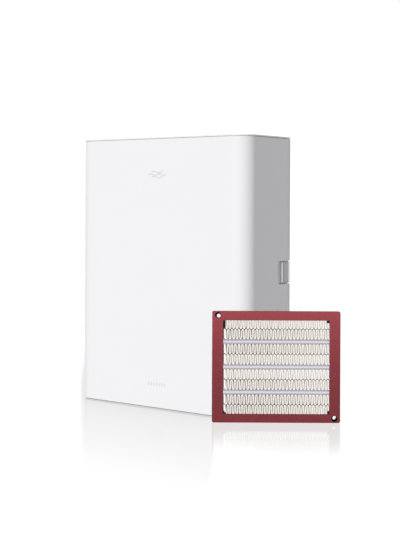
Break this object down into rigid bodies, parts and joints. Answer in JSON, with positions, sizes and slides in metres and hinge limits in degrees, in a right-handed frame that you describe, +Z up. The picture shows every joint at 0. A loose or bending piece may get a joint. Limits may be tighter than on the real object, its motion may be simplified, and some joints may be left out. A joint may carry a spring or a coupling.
{
  "type": "supply air ventilation unit",
  "caption": "Slim white wall ventilation cabinet with a lift-off front shell, side latches, shutter, filters, fan and a finned electric heater module shown taken out.",
  "frame": {"origin": "middle of the cabinet's underside", "axes": "+Z up, +Y towards the wall, +X to the right as seen from the room"},
  "size_m": [0.6433, 0.2246, 0.6],
  "materials": {
    "white_paint": "smooth satin powder coat",
    "white_plastic": "satin moulded",
    "zinc_sheet": "zinc-coated sheet",
    "grey_plastic": "fine moulded grain",
    "black_plastic": "matt moulded",
    "rubber_seal": "matt",
    "cable_sheath": "satin PVC",
    "motor_steel": "turned",
    "spring_steel": "drawn wire",
    "nylon": "natural nylon",
    "filter_foam": "coarse open mesh",
    "filter_paper": "pleated glass-fibre paper",
    "carbon_media": "granular carbon felt",
    "sound_foam": "open-cell foam",
    "circuit_board": "solder mask",
    "red_paint": "satin dark red coat",
    "fin_aluminium": "bright folded strip",
    "bar_aluminium": "satin extruded tube",
    "separator_sheet": "dull sheet",
    "heater_ceramic": "film-wrapped ceramic"
  },
  "bodies": {
    "chassis": {"top_cap": "white_paint", "base_panel": "white_paint", "back_plate": "white_paint", "wall_bracket": "zinc_sheet", "latch_housing_right": "grey_plastic", "latch_spring_right": "spring_steel", "latch_housing_left": "grey_plastic", "latch_spring_left": "spring_steel", "inlet_collar": "grey_plastic", "gate_seal": "rubber_seal", "cable_gland": "black_plastic", "mains_cable": "cable_sheath", "filter_housing": "grey_plastic", "shutter_motor": "motor_steel", "pre_filter": "filter_foam", "hepa_filter": "filter_paper", "carbon_filter": "carbon_media", "mid_shelf": "zinc_sheet", "heater_seat_panel": "zinc_sheet", "heater_socket": "black_plastic", "fan_scroll": "black_plastic", "fan_cover": "black_plastic", "fan_motor": "motor_steel", "board_tray": "white_plastic", "control_board": "circuit_board"},
    "front_shell": {"front_shell": "white_paint", "acoustic_mat": "sound_foam"},
    "latch_right": {"latch_button_right": "white_plastic"},
    "latch_left": {"latch_button_left": "white_plastic"},
    "impeller": {"impeller": "black_plastic"},
    "shutter_gate": {"shutter_gate": "grey_plastic"},
    "shutter_pinion": {"shutter_pinion": "nylon"},
    "heater_module": {"heater_face_plate": "red_paint", "heater_carrier_frame": "black_plastic", "heater_terminal_block": "black_plastic", "thermal_cutout": "black_plastic", "fin_row_1": "fin_aluminium", "fin_row_2": "fin_aluminium", "fin_row_3": "fin_aluminium", "fin_row_4": "fin_aluminium", "fin_row_5": "fin_aluminium", "fin_row_6": "fin_aluminium", "fin_row_7": "fin_aluminium", "fin_row_8": "fin_aluminium", "fin_separator_1": "separator_sheet", "fin_separator_2": "separator_sheet", "fin_separator_3": "separator_sheet", "fin_separator_4": "separator_sheet", "element_bar_1": "bar_aluminium", "heating_strip_1": "heater_ceramic", "element_bar_2": "bar_aluminium", "heating_strip_2": "heater_ceramic", "element_bar_3": "bar_aluminium", "heating_strip_3": "heater_ceramic"}
  },
  "joints": [
    {"name": "front_shell_slide", "type": "slide", "parent": "chassis", "child": "front_shell", "axis": [0, -1, 0], "range_m": [0, 0.2]},
    {"name": "heater_module_withdraw", "type": "slide", "parent": "front_shell", "child": "heater_module", "axis": [0.6133, -0.7898, 0], "range_m": [0, 0.2]},
    {"name": "latch_right_press", "type": "slide", "parent": "chassis", "child": "latch_right", "axis": [-1, 0, 0], "range_m": [0, 0.003], "stiffness_N_per_m": 300},
    {"name": "latch_left_press", "type": "slide", "parent": "chassis", "child": "latch_left", "axis": [1, 0, 0], "range_m": [0, 0.003], "stiffness_N_per_m": 300},
    {"name": "impeller_spin", "type": "hinge", "parent": "chassis", "child": "impeller", "pos_m": [-0.036, 0, 0.45], "axis": [0, -1, 0], "continuous": true},
    {"name": "shutter_gate_slide", "type": "slide", "parent": "chassis", "child": "shutter_gate", "axis": [1, 0, 0], "range_m": [0, 0.128]},
    {"name": "shutter_pinion_spin", "type": "hinge", "parent": "chassis", "child": "shutter_pinion", "pos_m": [0.065, 0.0185, 0.24], "axis": [0, -1, 0], "range_deg": [0, 613]}
  ],
  "couplings": [
    {"joint": "shutter_pinion_spin", "follows": "shutter_gate_slide", "rad_per_m": 83.333}
  ]
}
